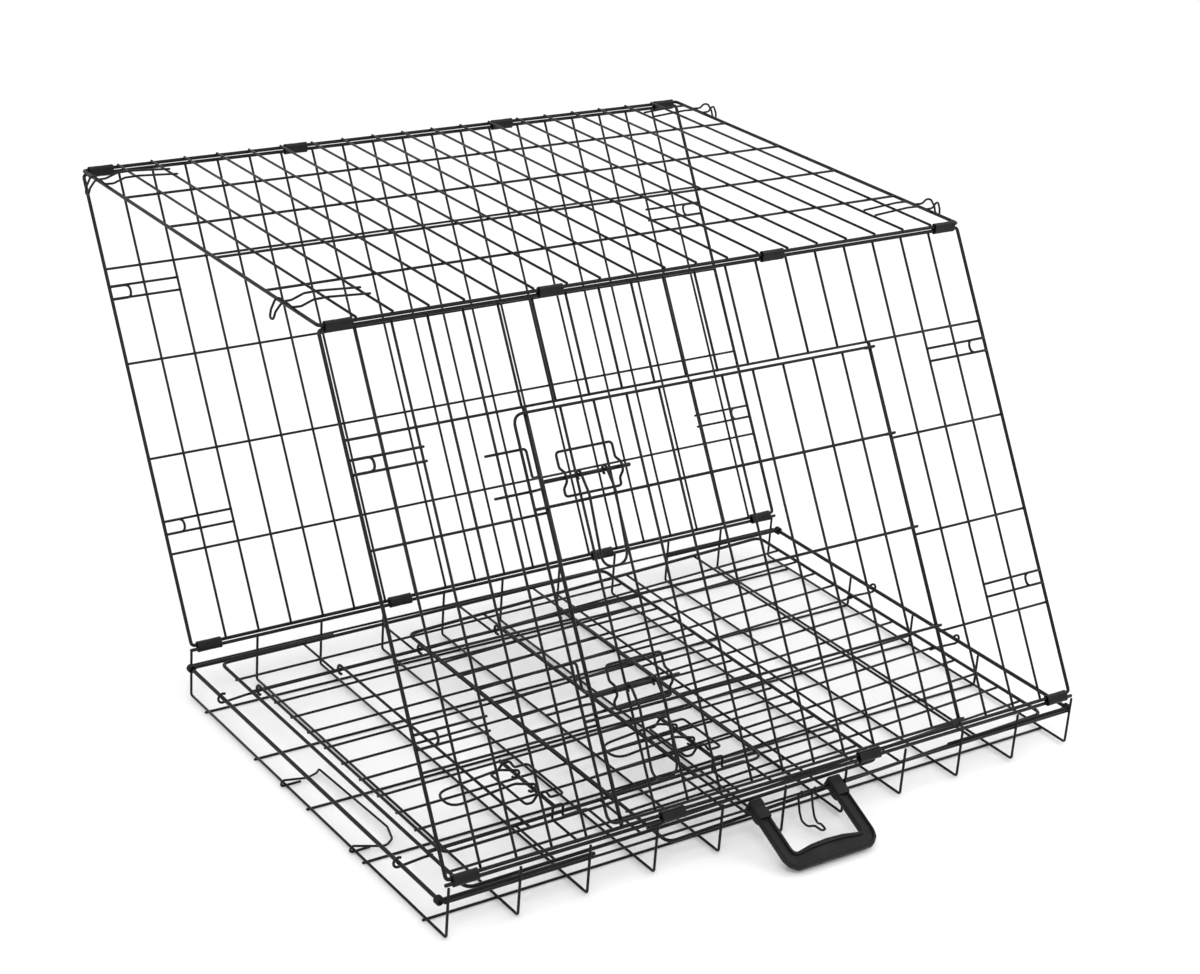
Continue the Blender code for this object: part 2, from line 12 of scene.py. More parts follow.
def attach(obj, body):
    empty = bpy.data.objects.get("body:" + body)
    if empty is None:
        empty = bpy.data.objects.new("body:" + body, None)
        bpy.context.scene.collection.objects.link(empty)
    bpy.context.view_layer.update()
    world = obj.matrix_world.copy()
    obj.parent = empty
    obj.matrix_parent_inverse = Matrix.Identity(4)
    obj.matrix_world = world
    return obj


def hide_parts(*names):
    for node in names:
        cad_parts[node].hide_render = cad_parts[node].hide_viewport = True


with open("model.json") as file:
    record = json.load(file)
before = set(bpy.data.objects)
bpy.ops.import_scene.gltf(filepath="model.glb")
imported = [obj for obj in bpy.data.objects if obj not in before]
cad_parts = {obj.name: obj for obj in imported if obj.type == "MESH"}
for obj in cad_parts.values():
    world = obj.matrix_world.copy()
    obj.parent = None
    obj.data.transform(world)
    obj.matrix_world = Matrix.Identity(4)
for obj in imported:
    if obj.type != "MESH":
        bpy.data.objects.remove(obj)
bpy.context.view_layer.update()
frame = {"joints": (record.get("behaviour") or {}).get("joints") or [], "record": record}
JOINTS = {joint["name"]: joint for joint in frame["joints"]}
BODY_OF = {
    node: body
    for body, nodes in frame["record"]["behaviour"]["bodies"].items()
    for node in nodes
}

# Sizes shared with the frame, in metres
FRONT_HINGE = Vector(JOINTS["front_fold"]["pos_m"])
BACK_HINGE = Vector(JOINTS["back_fold"]["pos_m"])
TOP_HINGE = Vector(JOINTS["top_fold"]["pos_m"])
LEFT_ROD = Vector(JOINTS["left_end_fold"]["pos_m"])
RIGHT_ROD = Vector(JOINTS["right_end_fold"]["pos_m"])
SIDE_UP = Vector(JOINTS["front_door_hinge"]["axis"])
LEFT_END_UP = -Vector(JOINTS["end_door_hinge"]["axis"])
LENGTH = 0.910
DEPTH = BACK_HINGE.y - FRONT_HINGE.y
WALL_HEIGHT = FRONT_HINGE.z
PANEL_HEIGHT = (TOP_HINGE - BACK_HINGE).length
MID_WIRE_HEIGHT = LEFT_ROD.z

# Wire radii, how deep a weld sinks, and how far wires run past the rails they are welded to
GRID_WIRE = 0.0016
RAIL_WIRE = 0.0022
HINGE_ROD = 0.0025
JAMB_WIRE = 0.0023
BAR_WIRE = 0.0018
HOOK_WIRE = 0.0014
BOLT_RADIUS = 0.0024
WELD = 0.0004
STUB = 0.0012
LOW_STUB = 0.0015
# How far a panel's lengthwise wires stand off the plane of its rails,
# and how far its columns end short of the middle of the far rail
SET_BACK = 0.0006
COLUMN_END = 0.001
# The gap left between pieces that are loose or lie on each other
CLEARANCE = 0.0002

# Grids of the panels, and the base's walls, floor and hinge rods
SIDE_COLUMNS = 20
SIDE_ROWS = 5
BASE_BAYS = 10
END_COLUMNS = 14
END_ROWS = 5
PITCH = LENGTH / SIDE_COLUMNS
ROW_PITCH = PANEL_HEIGHT / SIDE_ROWS
FLOOR_PITCH = 0.130
PAIR = 0.0053
WALL_WIRE_TOP = 0.0664
WALL_SINK = 0.0001
FLOOR_BEND = 0.007
BEND_OVERLAP = 0.001
POST_FOOT = 0.008
POST_GAP = 0.0003
FLOOR_WIRE_INSET = 0.006
ROD_LEG = 0.200
ROD_LEG_INSET = 0.0056
KNOB_TURNS = 3
KNOB_RADIUS = 0.0042
KNOB_PITCH = 0.0026
KNOB_INSET = 0.004
KNOB_WIRE = 0.0013

# End panels
END_PITCH = 0.04125
END_HALF = END_PITCH * END_COLUMNS / 2
END_FOOT = 0.038
END_ROW_PITCH = 0.115
RIGHT_END_TILT = math.radians(-2.0)
KNUCKLE_RADIUS = 0.0060
KNUCKLE_LEAD = 0.006
KNUCKLE_COLUMNS = {"left": 5, "right": 2}

# Doorways (at these columns), the doors' bar heights and the latches' heights
FRONT_JAMB = (5, 16)
END_JAMB = 5
DOOR_OUT = 0.0056
DOOR_LAP = 0.0195
FRONT_DOOR_BARS = (0.012, 0.128, 0.251, 0.368, 0.476)
END_DOOR_BARS = (0.0475, 0.160, 0.275, 0.390, 0.488)
FRONT_LATCHES = (("upper", 0.396), ("lower", 0.153))
END_LATCHES = (("upper", 0.428), ("lower", 0.203))

# A latch's places: along from the jamb, out from the panel and up from the bolt
BOLT_OUT = 0.0114
BOLT_SPAN = (-0.0035, 0.1135)
GUIDE_SPAN = (0.0235, 0.0995)
GUIDE_BELOW = 0.021
GUIDE_ABOVE = 0.030
GUIDE_BULGE = (0.005, 0.012)
GUIDE_GAP = 0.0005
EYE_ALONG = -0.0095
EYE_HALF = 0.0070
EYE_OUT = 0.0170
KEEPER_ALONG = -0.0635
KEEPER_ABOVE = 0.041
HANDLE_LEGS = (0.0435, 0.0785)
PULL_BENDS = ((0.0120, -0.0240), (0.0050, -0.1080))
CURL_RADIUS = 0.0049

# Hinge clips, latch receivers and top hooks
CLIP_CENTRES = (-0.432, -0.159, 0.159, 0.432)
FRONT_LOW_CLIP_CENTRES = (-0.432, -0.159, 0.128, 0.432)
CLIP_LENGTH = 0.032
CLIP_INSIDE = 0.0033
CLIP_OUTSIDE = 0.0042
CLIP_PINCH_WIDTH = 0.0022
# A clip's stations as (place along it, swell, pinch), up to just before its middle
CLIP_STATIONS = (
    (-0.5, 1.00, 0.0),
    (-0.47, 1.05, 0.0),
    (-0.40, 1.0, 0.05),
    (-0.16, 1.0, 0.08),
    (-0.08, 0.97, 0.30),
)
RECEIVER_PAIRS = ((0.146, 0.162), (0.445, 0.461))
RECEIVER_LOOP = 0.028
RECEIVER_LOOP_OUT = 0.0026
RECEIVER_OVERHANG = 0.003
RECEIVER_INSET = 0.001
HOOK_INSET = 0.062
# A hook's bends as (distance past the end rail, height over its legs, half of its width)
HOOK_BENDS = (
    (-2.05 * PITCH, 0.0, 0.011),
    (-0.040, 0.0035, 0.011),
    (-0.022, 0.0030, 0.011),
    (-0.007, -0.0025, 0.011),
    (0.004, -0.0025, 0.010),
    (0.009, 0.0030, 0.009),
    (0.015, 0.0030, 0.007),
    (0.021, -0.0070, 0.005),
    (0.023, -0.0160, 0.004),
)

# Carry handle, fold hook and tray stop
CARRY_X = 0.018
CARRY_LEG = 0.058
CARRY_DROP = math.radians(25.0)
CARRY_HALF_THICK = 0.0044
# One half of the grip's edges as (x, distance from the wire)
CARRY_OUTER = ((0.0665, 0.010), (0.0665, 0.0740), (0.0635, 0.0835), (0.0545, 0.0915))
CARRY_INNER = ((0.0500, 0.010), (0.0500, 0.0670), (0.0470, 0.0715), (0.0240, 0.0672), (0.0, 0.0658))
CARRY_RINGS = 96
CARRY_SOFT = 0.0012
CHANNEL_DEPTH = 0.0022
SNAP_HALF_WIDTH = 0.0092
SNAP_HALF_HEIGHT = 0.0078
SNAP_SOFT = 0.0020
# A snap block's stations as (distance from the wire, swell)
SNAP_STATIONS = (
    (-0.0064, 0.86),
    (-0.0054, 1.0),
    (0.0020, 1.0),
    (0.0026, 0.90),
    (0.0070, 0.90),
    (0.0076, 1.0),
    (0.0160, 0.97),
    (0.0195, 0.88),
)
FOLD_HOOK_X = 0.035
FOLD_HOOK_CURL = 0.0046
FOLD_HOOK_HALF = 0.010
# The fold hook's bends as (y, z, half of its width) from the wire
FOLD_HOOK_BENDS = (
    (-0.0030, -0.0230, 0.0100),
    (-0.0080, -0.0330, 0.0095),
    (-0.0170, -0.0360, 0.0075),
    (-0.0260, -0.0310, 0.0045),
    (-0.0370, -0.0320, 0.0030),
)
TRAY_STOP_YS = (0.060, -0.104)
TRAY_STOP_CURL = 0.0042
TRAY_STOP_RISE = 0.0020
# The tray stop's tail as (x, z) and the bends of its loop as (x, y), from the wire it turns on
TRAY_STOP_TAIL = ((0.022, -0.0027), (-0.001, -0.0029))
TRAY_STOP_BENDS = (
    (0.028, 0.056),
    (0.044, 0.061),
    (0.050, 0.068),
    (0.056, -0.083),
    (0.048, -0.108),
    (0.034, -0.118),
)

# Radii of the wires' and the grip's corners
RAIL_CORNER = 0.005
POST_CORNER = 0.005
WALL_CORNER = 0.0065
ROD_CORNER = 0.006
END_CORNER = 0.012
DOOR_CORNER = 0.014
RECEIVER_CORNER = 0.0075
GUIDE_CORNER = 0.005
KEEPER_CORNER = 0.0045
PULL_CORNER = 0.017
HOOK_CORNER = 0.006
FOLD_HOOK_CORNER = 0.008
TRAY_STOP_CORNER = 0.012
GRIP_OUTER_CORNER = 0.006
GRIP_INNER_CORNER = 0.004

# Mesh detail
WIRE_SIDES = 14
BEND_STEPS = 7
BEAD_SIDES = 8
BEAD_RINGS = 4
CUT_EDGE = 0.62
CUT_DEPTH = 0.45
SHARP_ANGLE = math.radians(48)
STRAIGHT_ANGLE = math.radians(4)


# ---- tubes ----

def filleted(points, radius, closed):
    """The points with each corner rounded by an arc of the radius, or less where a segment is short."""
    points = [Vector(point) for point in points]
    if radius <= 0:
        return points
    count = len(points)
    out = []
    for i, point in enumerate(points):
        if not closed and i in (0, count - 1):
            out.append(point)
            continue
        before, after = points[i - 1] - point, points[(i + 1) % count] - point
        a, b = before.normalized(), after.normalized()
        angle = math.pi - a.angle(b, math.pi)
        if angle < STRAIGHT_ANGLE:
            out.append(point)
            continue
        trim = min(radius * math.tan(angle / 2), before.length * 0.48, after.length * 0.48)
        start, end = point + a * trim, point + b * trim
        steps = max(2, round(BEND_STEPS * angle / (math.pi / 2)))
        for step in range(steps + 1):
            t = step / steps
            out.append(start * (1 - t) ** 2 + point * (2 * t * (1 - t)) + end * t * t)
    return out


class Shape:
    """Points and faces gathered from many tubes, lofts and beads, made into one mesh."""

    def __init__(self):
        self.points = []
        self.faces = []
        self.count = 0

    def add(self, points, faces):
        self.points.append(np.asarray(points, dtype=float).reshape(-1, 3))
        self.faces += [tuple(index + self.count for index in face) for face in faces]
        self.count += len(self.points[-1])

    def loft(self, rings, closed=False):
        """Joins rings that hold the same number of points each."""
        size = len(rings[0])
        number = len(rings)
        faces = []
        for i in range(number if closed else number - 1):
            a, b = i * size, (i + 1) % number * size
            faces += [(a + j, a + (j + 1) % size, b + (j + 1) % size, b + j) for j in range(size)]
        if not closed:
            faces.append(tuple(reversed(range(size))))
            faces.append(tuple((number - 1) * size + j for j in range(size)))
        self.add(np.concatenate([np.asarray(ring, dtype=float) for ring in rings]), faces)

    def tube(self, points, radius, bend=0.004, closed=False):
        """A round wire with rounded bends and softly cut ends."""
        line = filleted(points, bend, closed)
        count = len(line)
        along = [(line[(i + 1) % count] - line[i]).normalized() for i in range(count)]
        if not closed:
            along[-1] = along[-2]
        tangents = [(along[i] + along[i - 1]).normalized() if closed or i else along[0] for i in range(count)]
        side = tangents[0].orthogonal().normalized()
        spots, sizes, frames = [], [], []
        for i, (point, tangent) in enumerate(zip(line, tangents)):
            side = (side - tangent * side.dot(tangent)).normalized()
            spots.append(point)
            sizes.append(radius)
            frames.append((side.copy(), tangent.cross(side)))
        if not closed:
            for index, way in ((0, along[0]), (-1, -along[-2])):
                tip, pair = spots[index], frames[index]
                inner = tip + way * radius * CUT_DEPTH
                if index == 0:
                    spots[0:1] = [tip, inner]
                    sizes[0:1] = [radius * CUT_EDGE, radius]
                    frames[0:1] = [pair, pair]
                else:
                    spots[-1:] = [inner, tip]
                    sizes[-1:] = [radius, radius * CUT_EDGE]
                    frames[-1:] = [pair, pair]
        turns = [math.tau * j / WIRE_SIDES for j in range(WIRE_SIDES)]
        rings = [
            [spot + (one * math.cos(a) + two * math.sin(a)) * size for a in turns]
            for spot, size, (one, two) in zip(spots, sizes, frames)
        ]
        self.loft(rings, closed)

    def bead(self, centre, radii):
        """A small flattened ball: the nugget of a spot weld."""
        rings = []
        for i in range(1, BEAD_RINGS):
            polar = math.pi * i / BEAD_RINGS
            rings.append([
                (
                    centre[0] + radii[0] * math.sin(polar) * math.cos(a),
                    centre[1] + radii[1] * math.sin(polar) * math.sin(a),
                    centre[2] + radii[2] * math.cos(polar),
                )
                for a in (math.tau * j / BEAD_SIDES for j in range(BEAD_SIDES))
            ])
        self.loft(rings)

    def object(self, name, place=None):
        """The mesh object, moved to its place, with outward normals and sharp edges."""
        mesh = bpy.data.meshes.new(name)
        mesh.from_pydata(np.concatenate(self.points).tolist(), [], self.faces)
        mesh.validate()
        if place:
            mesh.transform(place)
        tidy = bmesh.new()
        tidy.from_mesh(mesh)
        bmesh.ops.recalc_face_normals(tidy, faces=tidy.faces)
        tidy.to_mesh(mesh)
        tidy.free()
        mesh.shade_smooth()
        mesh.set_sharp_from_angle(angle=SHARP_ANGLE)
        made = bpy.data.objects.new(name, mesh)
        bpy.context.scene.collection.objects.link(made)
        return made


def arc(centre, radius, start, end, steps):
    """Flat points along an arc, with its angles in degrees."""
    angles = [math.radians(start + (end - start) * i / steps) for i in range(steps + 1)]
    return [(centre[0] + radius * math.cos(a), centre[1] + radius * math.sin(a)) for a in angles]


def finish_piece(shape, node, place, finish):
    """Makes the piece that stands for a node, on the node's own body."""
    made = shape.object(f"{node}_look", place)
    made.data.materials.append(finish)
    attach(made, BODY_OF[node])
    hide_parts(node)


# ---- materials ----

COAT_ROUGHNESS = 0.22
SPECULAR_LEVEL = 0.22
NOISE_ROUGHNESS = 0.55
# Noise sizes in cycles per metre, and the relief of the orange peel in metres
PATCH_SCALE = 38.0
SPECK_SCALE = 900.0
PEEL_DEPTH = 0.0002


def node_of(tree, kind, **inputs):
    made = tree.nodes.new(kind)
    for name, value in inputs.items():
        made.inputs[name].default_value = value
    return made


def noise(tree, scale, detail):
    """Noise in the object's own space, in cycles per metre."""
    where = node_of(tree, "ShaderNodeTexCoord")
    made = node_of(tree, "ShaderNodeTexNoise", Scale=scale, Detail=detail, Roughness=NOISE_ROUGHNESS)
    tree.links.new(where.outputs["Object"], made.inputs["Vector"])
    return made


def ranged(tree, source, low, high, to_low, to_high):
    """Maps the source's values from low and high to the new ones."""
    made = node_of(tree, "ShaderNodeMapRange")
    for index, value in ((1, low), (2, high), (3, to_low), (4, to_high)):
        made.inputs[index].default_value = value
    tree.links.new(source, made.inputs[0])
    return made.outputs[0]


def coating(name, dark, light, rough, coat, grain, bump):
    """A baked black coating: a faint orange peel, duller patches and a little dust on what faces up."""
    made = bpy.data.materials.new(name)
    made.use_nodes = True
    tree = made.node_tree
    shader = tree.nodes["Principled BSDF"]
    shader.inputs["Coat Weight"].default_value = coat
    shader.inputs["Coat Roughness"].default_value = COAT_ROUGHNESS
    shader.inputs["Specular IOR Level"].default_value = SPECULAR_LEVEL
    patches = noise(tree, PATCH_SCALE, 4.0)
    mottled = ranged(tree, patches.outputs["Fac"], 0.35, 0.70, rough[0], rough[1])
    tree.links.new(mottled, shader.inputs["Roughness"])
    normal = node_of(tree, "ShaderNodeNewGeometry")
    split = node_of(tree, "ShaderNodeSeparateXYZ")
    tree.links.new(normal.outputs["Normal"], split.inputs[0])
    upward = ranged(tree, split.outputs["Z"], 0.45, 1.0, 0.0, 1.0)
    specks = noise(tree, SPECK_SCALE, 2.0)
    fine = ranged(tree, specks.outputs["Fac"], 0.52, 0.72, 0.0, 1.0)
    dust = node_of(tree, "ShaderNodeMath")
    dust.operation = "MULTIPLY"
    tree.links.new(upward, dust.inputs[0])
    tree.links.new(fine, dust.inputs[1])
    colour = node_of(tree, "ShaderNodeMix")
    colour.data_type = "RGBA"
    colour.inputs["A"].default_value = (*dark, 1.0)
    colour.inputs["B"].default_value = (*light, 1.0)
    tree.links.new(dust.outputs[0], colour.inputs["Factor"])
    tree.links.new(colour.outputs["Result"], shader.inputs["Base Color"])
    peel = noise(tree, grain, 2.0)
    relief = node_of(tree, "ShaderNodeBump", Strength=bump, Distance=PEEL_DEPTH)
    tree.links.new(peel.outputs["Fac"], relief.inputs["Height"])
    tree.links.new(relief.outputs["Normal"], shader.inputs["Normal"])
    return made


WIRE_BLACK = coating(
    "wire_coating",
    dark=(0.0012, 0.0012, 0.0013),
    light=(0.007, 0.007, 0.0075),
    rough=(0.32, 0.48),
    coat=0.02,
    grain=420.0,
    bump=0.25,
)
SHEET_BLACK = coating(
    "clip_coating",
    dark=(0.0024, 0.0024, 0.0026),
    light=(0.016, 0.016, 0.017),
    rough=(0.34, 0.52),
    coat=0.03,
    grain=700.0,
    bump=0.35,
)
PLASTIC_BLACK = coating(
    "moulded_plastic",
    dark=(0.0040, 0.0040, 0.0041),
    light=(0.014, 0.014, 0.014),
    rough=(0.46, 0.62),
    coat=0.0,
    grain=1500.0,
    bump=0.5,
)


# ---- panel frames: local x along the panel, local z up it, local -y out of the crate ----

def framed(along, up, origin):
    """The frame of a panel from its hinge line and the way up it."""
    inward = up.cross(along)
    turn = Matrix((along, inward, up)).transposed()
    return Matrix.Translation(origin) @ turn.to_4x4()


FRONT_PLACE = framed(Vector((1, 0, 0)), SIDE_UP, FRONT_HINGE)
BACK_PLACE = framed(Vector((-1, 0, 0)), SIDE_UP, BACK_HINGE)
TOP_PLACE = Matrix.Translation(TOP_HINGE - Vector((0, DEPTH / 2, 0)))
LEFT_PLACE = framed(Vector((0, -1, 0)), LEFT_END_UP, LEFT_ROD)
RIGHT_UP = Vector((-math.cos(RIGHT_END_TILT), 0, math.sin(RIGHT_END_TILT)))
RIGHT_PLACE = framed(Vector((0, 1, 0)), RIGHT_UP, RIGHT_ROD)


def panel(x, out, height):
    return Vector((x, -out, height))


def column_x(k):
    """Where column wire k of a side or the top stands."""
    return (k - SIDE_COLUMNS / 2) * PITCH


def weld(shape, x, y, z):
    """The nugget where two grid wires cross."""
    shape.bead((x, y, z), (GRID_WIRE * 1.05, GRID_WIRE * 0.75, GRID_WIRE * 1.05))


# ---- base ----

def bay_xs():
    """Where the base's cross wires lie."""
    return [LENGTH * (i / BASE_BAYS - 0.5) for i in range(BASE_BAYS + 1)]


WALL_Y = DEPTH / 2 + RAIL_WIRE + GRID_WIRE - WELD - WALL_SINK
CROSS_HEIGHT = 3 * GRID_WIRE - WELD
BASE_END = LENGTH / 2 + 2 * GRID_WIRE


def base_floor():
    """The floor grid: the cross wires run into the bends that rise to the walls."""
    shape = Shape()
    for x in bay_xs():
        path = [(x, side * (WALL_Y - FLOOR_BEND), CROSS_HEIGHT) for side in (1, -1)]
        shape.tube(path, GRID_WIRE)
    for row in range(-2, 3):
        y = row * FLOOR_PITCH
        end = RIGHT_ROD.x - FLOOR_WIRE_INSET if abs(row) < 2 else BASE_END
        shape.tube([(-BASE_END, y, GRID_WIRE), (end, y, GRID_WIRE)], GRID_WIRE)
        for x in bay_xs():
            weld(shape, x, y, 2 * GRID_WIRE)
    finish_piece(shape, "base_floor", None, WIRE_BLACK)


def base_posts():
    """The ends of three floor wires, turned up under the hinge rod."""
    for i in range(3):
        y = (i - 1) * FLOOR_PITCH
        x = RIGHT_ROD.x
        top = MID_WIRE_HEIGHT - HINGE_ROD - POST_GAP
        path = [(x - POST_FOOT, y, GRID_WIRE), (x, y, GRID_WIRE), (x, y, top)]
        shape = Shape()
        shape.tube(path, GRID_WIRE, bend=POST_CORNER)
        finish_piece(shape, f"base_post_{i + 1}", None, WIRE_BLACK)


def base_wall(node, side):
    """A long wall: uprights that bend out of the floor, a middle wire and the rail."""
    shape = Shape()
    for x in bay_xs():
        path = [
            (x, side * (WALL_Y - FLOOR_BEND - BEND_OVERLAP), CROSS_HEIGHT),
            (x, side * WALL_Y, CROSS_HEIGHT),
            (x, side * WALL_Y, WALL_WIRE_TOP),
        ]
        shape.tube(path, GRID_WIRE, bend=WALL_CORNER)
        weld(shape, x, side * (WALL_Y - GRID_WIRE), MID_WIRE_HEIGHT)
    mid_y = side * (WALL_Y - 2 * GRID_WIRE + WELD)
    shape.tube([(-BASE_END, mid_y, MID_WIRE_HEIGHT), (BASE_END, mid_y, MID_WIRE_HEIGHT)], GRID_WIRE)
    rail_y = side * DEPTH / 2
    shape.tube([(-BASE_END, rail_y, WALL_HEIGHT), (BASE_END, rail_y, WALL_HEIGHT)], RAIL_WIRE)
    finish_piece(shape, node, None, WIRE_BLACK)


def end_rod(node, side, pivot):
    """The U-shaped hinge rod, with a coiled knob at each corner."""
    shape = Shape()
    leg_y = DEPTH / 2 - ROD_LEG_INSET
    inner = pivot.x - side * ROD_LEG
    z = pivot.z
    path = [(inner, leg_y, z), (pivot.x, leg_y, z), (pivot.x, -leg_y, z), (inner, -leg_y, z)]
    shape.tube(path, HINGE_ROD, bend=ROD_CORNER)
    for way in (-1, 1):
        for turn in range(KNOB_TURNS):
            y = way * (leg_y - KNOB_INSET + turn * KNOB_PITCH)
            ring = [(pivot.x + dx, y, z + dz) for dx, dz in arc((0, 0), KNOB_RADIUS, 0, 330, 11)]
            shape.tube(ring, KNOB_WIRE, bend=0, closed=True)
    finish_piece(shape, node, None, WIRE_BLACK)


# ---- side and top panels ----

def side_panel(node, place, jambs=None):
    """The front or the back: a frame with rows and columns of wire, and a doorway between any jambs."""
    inside = -(RAIL_WIRE + GRID_WIRE - WELD)
    head = PANEL_HEIGHT - ROW_PITCH
    half = LENGTH / 2
    shape = Shape()
    corners = [(-half, PAIR), (half, PAIR), (half, PANEL_HEIGHT), (-half, PANEL_HEIGHT)]
    shape.tube([panel(x, 0, z) for x, z in corners], RAIL_WIRE, bend=RAIL_CORNER, closed=True)
    spans = [(-half, half)]
    if jambs:
        left, right = (column_x(k) for k in jambs)
        spans = [(-half, left), (right, half)]
        for k in jambs:
            shape.tube([panel(column_x(k), 0, PAIR), panel(column_x(k), 0, head)], JAMB_WIRE)
    heights = [i * ROW_PITCH for i in range(1, SIDE_ROWS)]
    for height in heights:
        for low, high in spans if height < head - WELD else [(-half, half)]:
            shape.tube([panel(low, -SET_BACK, height), panel(high, -SET_BACK, height)], GRID_WIRE)
    for end in (-1, 1):
        receivers(shape, end)
    for k in range(1, SIDE_COLUMNS):
        low = PAIR - LOW_STUB
        crossed = heights
        if jambs and jambs[0] <= k <= jambs[1]:
            low = head - LOW_STUB
            crossed = heights[-1:]
        x = column_x(k)
        shape.tube([panel(x, inside, low), panel(x, inside, PANEL_HEIGHT - COLUMN_END)], GRID_WIRE)
        for height in crossed:
            weld(shape, x, -inside / 2, height)
    finish_piece(shape, node, place, WIRE_BLACK)


def receivers(shape, end):
    """Two pairs of short wires at one edge, each with a small loop that takes an end panel's latch."""
    half = LENGTH / 2
    for low, high in RECEIVER_PAIRS:
        inner = end * (half - 2 * PITCH - RECEIVER_OVERHANG)
        for height in (low, high):
            shape.tube([panel(end * half, -SET_BACK, height), panel(inner, -SET_BACK, height)], GRID_WIRE)
        edge = end * (half - RECEIVER_INSET)
        tip = end * (half - RECEIVER_LOOP)
        spots = ((edge, high), (tip, high), (tip, low), (edge, low))
        loop = [panel(x, RECEIVER_LOOP_OUT, height) for x, height in spots]
        shape.tube(loop, GRID_WIRE, bend=RECEIVER_CORNER)


def top_panel():
    """The top: a frame, rows along it and columns across it."""
    half, deep = LENGTH / 2, DEPTH / 2
    above = PAIR + RAIL_WIRE + GRID_WIRE - WELD
    shape = Shape()
    corners = [(-half, -deep, PAIR), (half, -deep, PAIR), (half, deep, PAIR), (-half, deep, PAIR)]
    shape.tube(corners, RAIL_WIRE, bend=RAIL_CORNER, closed=True)
    ys = [DEPTH * (i / SIDE_ROWS - 0.5) for i in range(1, SIDE_ROWS)]
    for y in ys:
        shape.tube([(-half, y, PAIR + SET_BACK), (half, y, PAIR + SET_BACK)], GRID_WIRE)
    for k in range(1, SIDE_COLUMNS):
        x = column_x(k)
        shape.tube([(x, -deep - STUB, above), (x, deep - COLUMN_END, above)], GRID_WIRE)
        for y in ys:
            weld(shape, x, y, (above + PAIR) / 2)
    finish_piece(shape, "top_panel", TOP_PLACE, WIRE_BLACK)


def top_hook(node, end, side):
    """A wire hairpin that lies on the top and reaches past its end, to hold an end panel."""
    half = LENGTH / 2
    low = PAIR + RAIL_WIRE + 2 * GRID_WIRE - WELD + HOOK_WIRE + CLEARANCE
    middle = side * (DEPTH / 2 - HOOK_INSET)
    there = [(end * (half + past), middle - width, low + rise) for past, rise, width in HOOK_BENDS]
    back = [(x, 2 * middle - y, z) for x, y, z in reversed(there)]
    shape = Shape()
    shape.tube(there + back, HOOK_WIRE, bend=HOOK_CORNER)
    finish_piece(shape, node, TOP_PLACE, WIRE_BLACK)


# ---- hinge clips ----

def clip(node, x, place):
    """A band of sheet metal crimped round two rails, with rolled ends and a pinch in the middle."""
    def outline(radius, squeeze):
        low = arc((0, 0), radius, 180, 360, 8)
        high = arc((0, PAIR), radius, 0, 180, 8)
        bent = []
        for y, z in low + high:
            middle = math.exp(-(((z - PAIR / 2) / CLIP_PINCH_WIDTH) ** 2))
            bent.append((y * (1 - squeeze * middle), z))
        return bent

    def skin(radius, stations):
        return [
            [(x + at * CLIP_LENGTH, y, z) for y, z in outline(radius * swell, squeeze)]
            for at, swell, squeeze in stations
        ]

    mirrored = [(-at, swell, squeeze) for at, swell, squeeze in reversed(CLIP_STATIONS)]
    stations = list(CLIP_STATIONS) + mirrored
    outer = skin(CLIP_OUTSIDE, stations)
    inner = skin(CLIP_INSIDE, stations[::-1])
    shape = Shape()
    shape.loft(outer + inner, closed=True)
    finish_piece(shape, node, place, SHEET_BLACK)


def hinge_clips():
    """Four clips along each of the long hinge lines."""
    half_depth = Matrix.Translation((0, DEPTH / 2, 0))
    places = {
        "front_low": FRONT_PLACE,
        "back_low": BACK_PLACE,
        "front_high": TOP_PLACE @ half_depth.inverted(),
        "back_high": TOP_PLACE @ half_depth,
    }
    for edge, place in places.items():
        centres = FRONT_LOW_CLIP_CENTRES if edge == "front_low" else CLIP_CENTRES
        for i, x in enumerate(centres):
            clip(f"hinge_clip_{edge}_{i + 1}", x, place)


# ---- end panels ----

def end_panel(node, place, knuckle_column, has_door):
    """An end panel with two wires curled round its hinge rod, and a doorway if it has a door."""
    inside = -(RAIL_WIRE + GRID_WIRE - WELD)
    head = END_FOOT + (END_ROWS - 1) * END_ROW_PITCH
    top = END_FOOT + END_ROWS * END_ROW_PITCH
    shape = Shape()
    corners = [(-END_HALF, END_FOOT), (END_HALF, END_FOOT), (END_HALF, top), (-END_HALF, top)]
    shape.tube([panel(x, 0, z) for x, z in corners], RAIL_WIRE, bend=END_CORNER, closed=True)
    jamb = END_JAMB * END_PITCH
    heights = [END_FOOT + i * END_ROW_PITCH for i in range(1, END_ROWS)]
    for height in heights:
        spans = [(-END_HALF, END_HALF)]
        if has_door and height < head - WELD:
            spans = [(-END_HALF, -jamb), (jamb, END_HALF)]
        for low, high in spans:
            shape.tube([panel(low, -SET_BACK, height), panel(high, -SET_BACK, height)], GRID_WIRE)
    for k in range(1 - END_COLUMNS // 2, END_COLUMNS // 2):
        x = k * END_PITCH
        low, crossed = END_FOOT - LOW_STUB, heights
        if has_door and abs(k) <= END_JAMB:
            low, crossed = head - LOW_STUB, heights[-1:]
        shape.tube([panel(x, inside, low), panel(x, inside, top + STUB)], GRID_WIRE)
        for height in crossed:
            weld(shape, x, -inside / 2, height)
    for end in (-1, 1):
        x = end * (knuckle_column * END_PITCH + 2 * GRID_WIRE - WELD)
        curl = [panel(x, out, z) for out, z in arc((0, 0), KNUCKLE_RADIUS, 180, 395, 14)]
        lead = [panel(x, inside, END_FOOT + way * KNUCKLE_LEAD) for way in (1, -1)]
        shape.tube(lead + curl, GRID_WIRE)
    if has_door:
        for x in (-jamb, jamb):
            shape.tube([panel(x, 0, END_FOOT), panel(x, 0, head)], JAMB_WIRE)
    finish_piece(shape, node, place, WIRE_BLACK)


# ---- doors ----

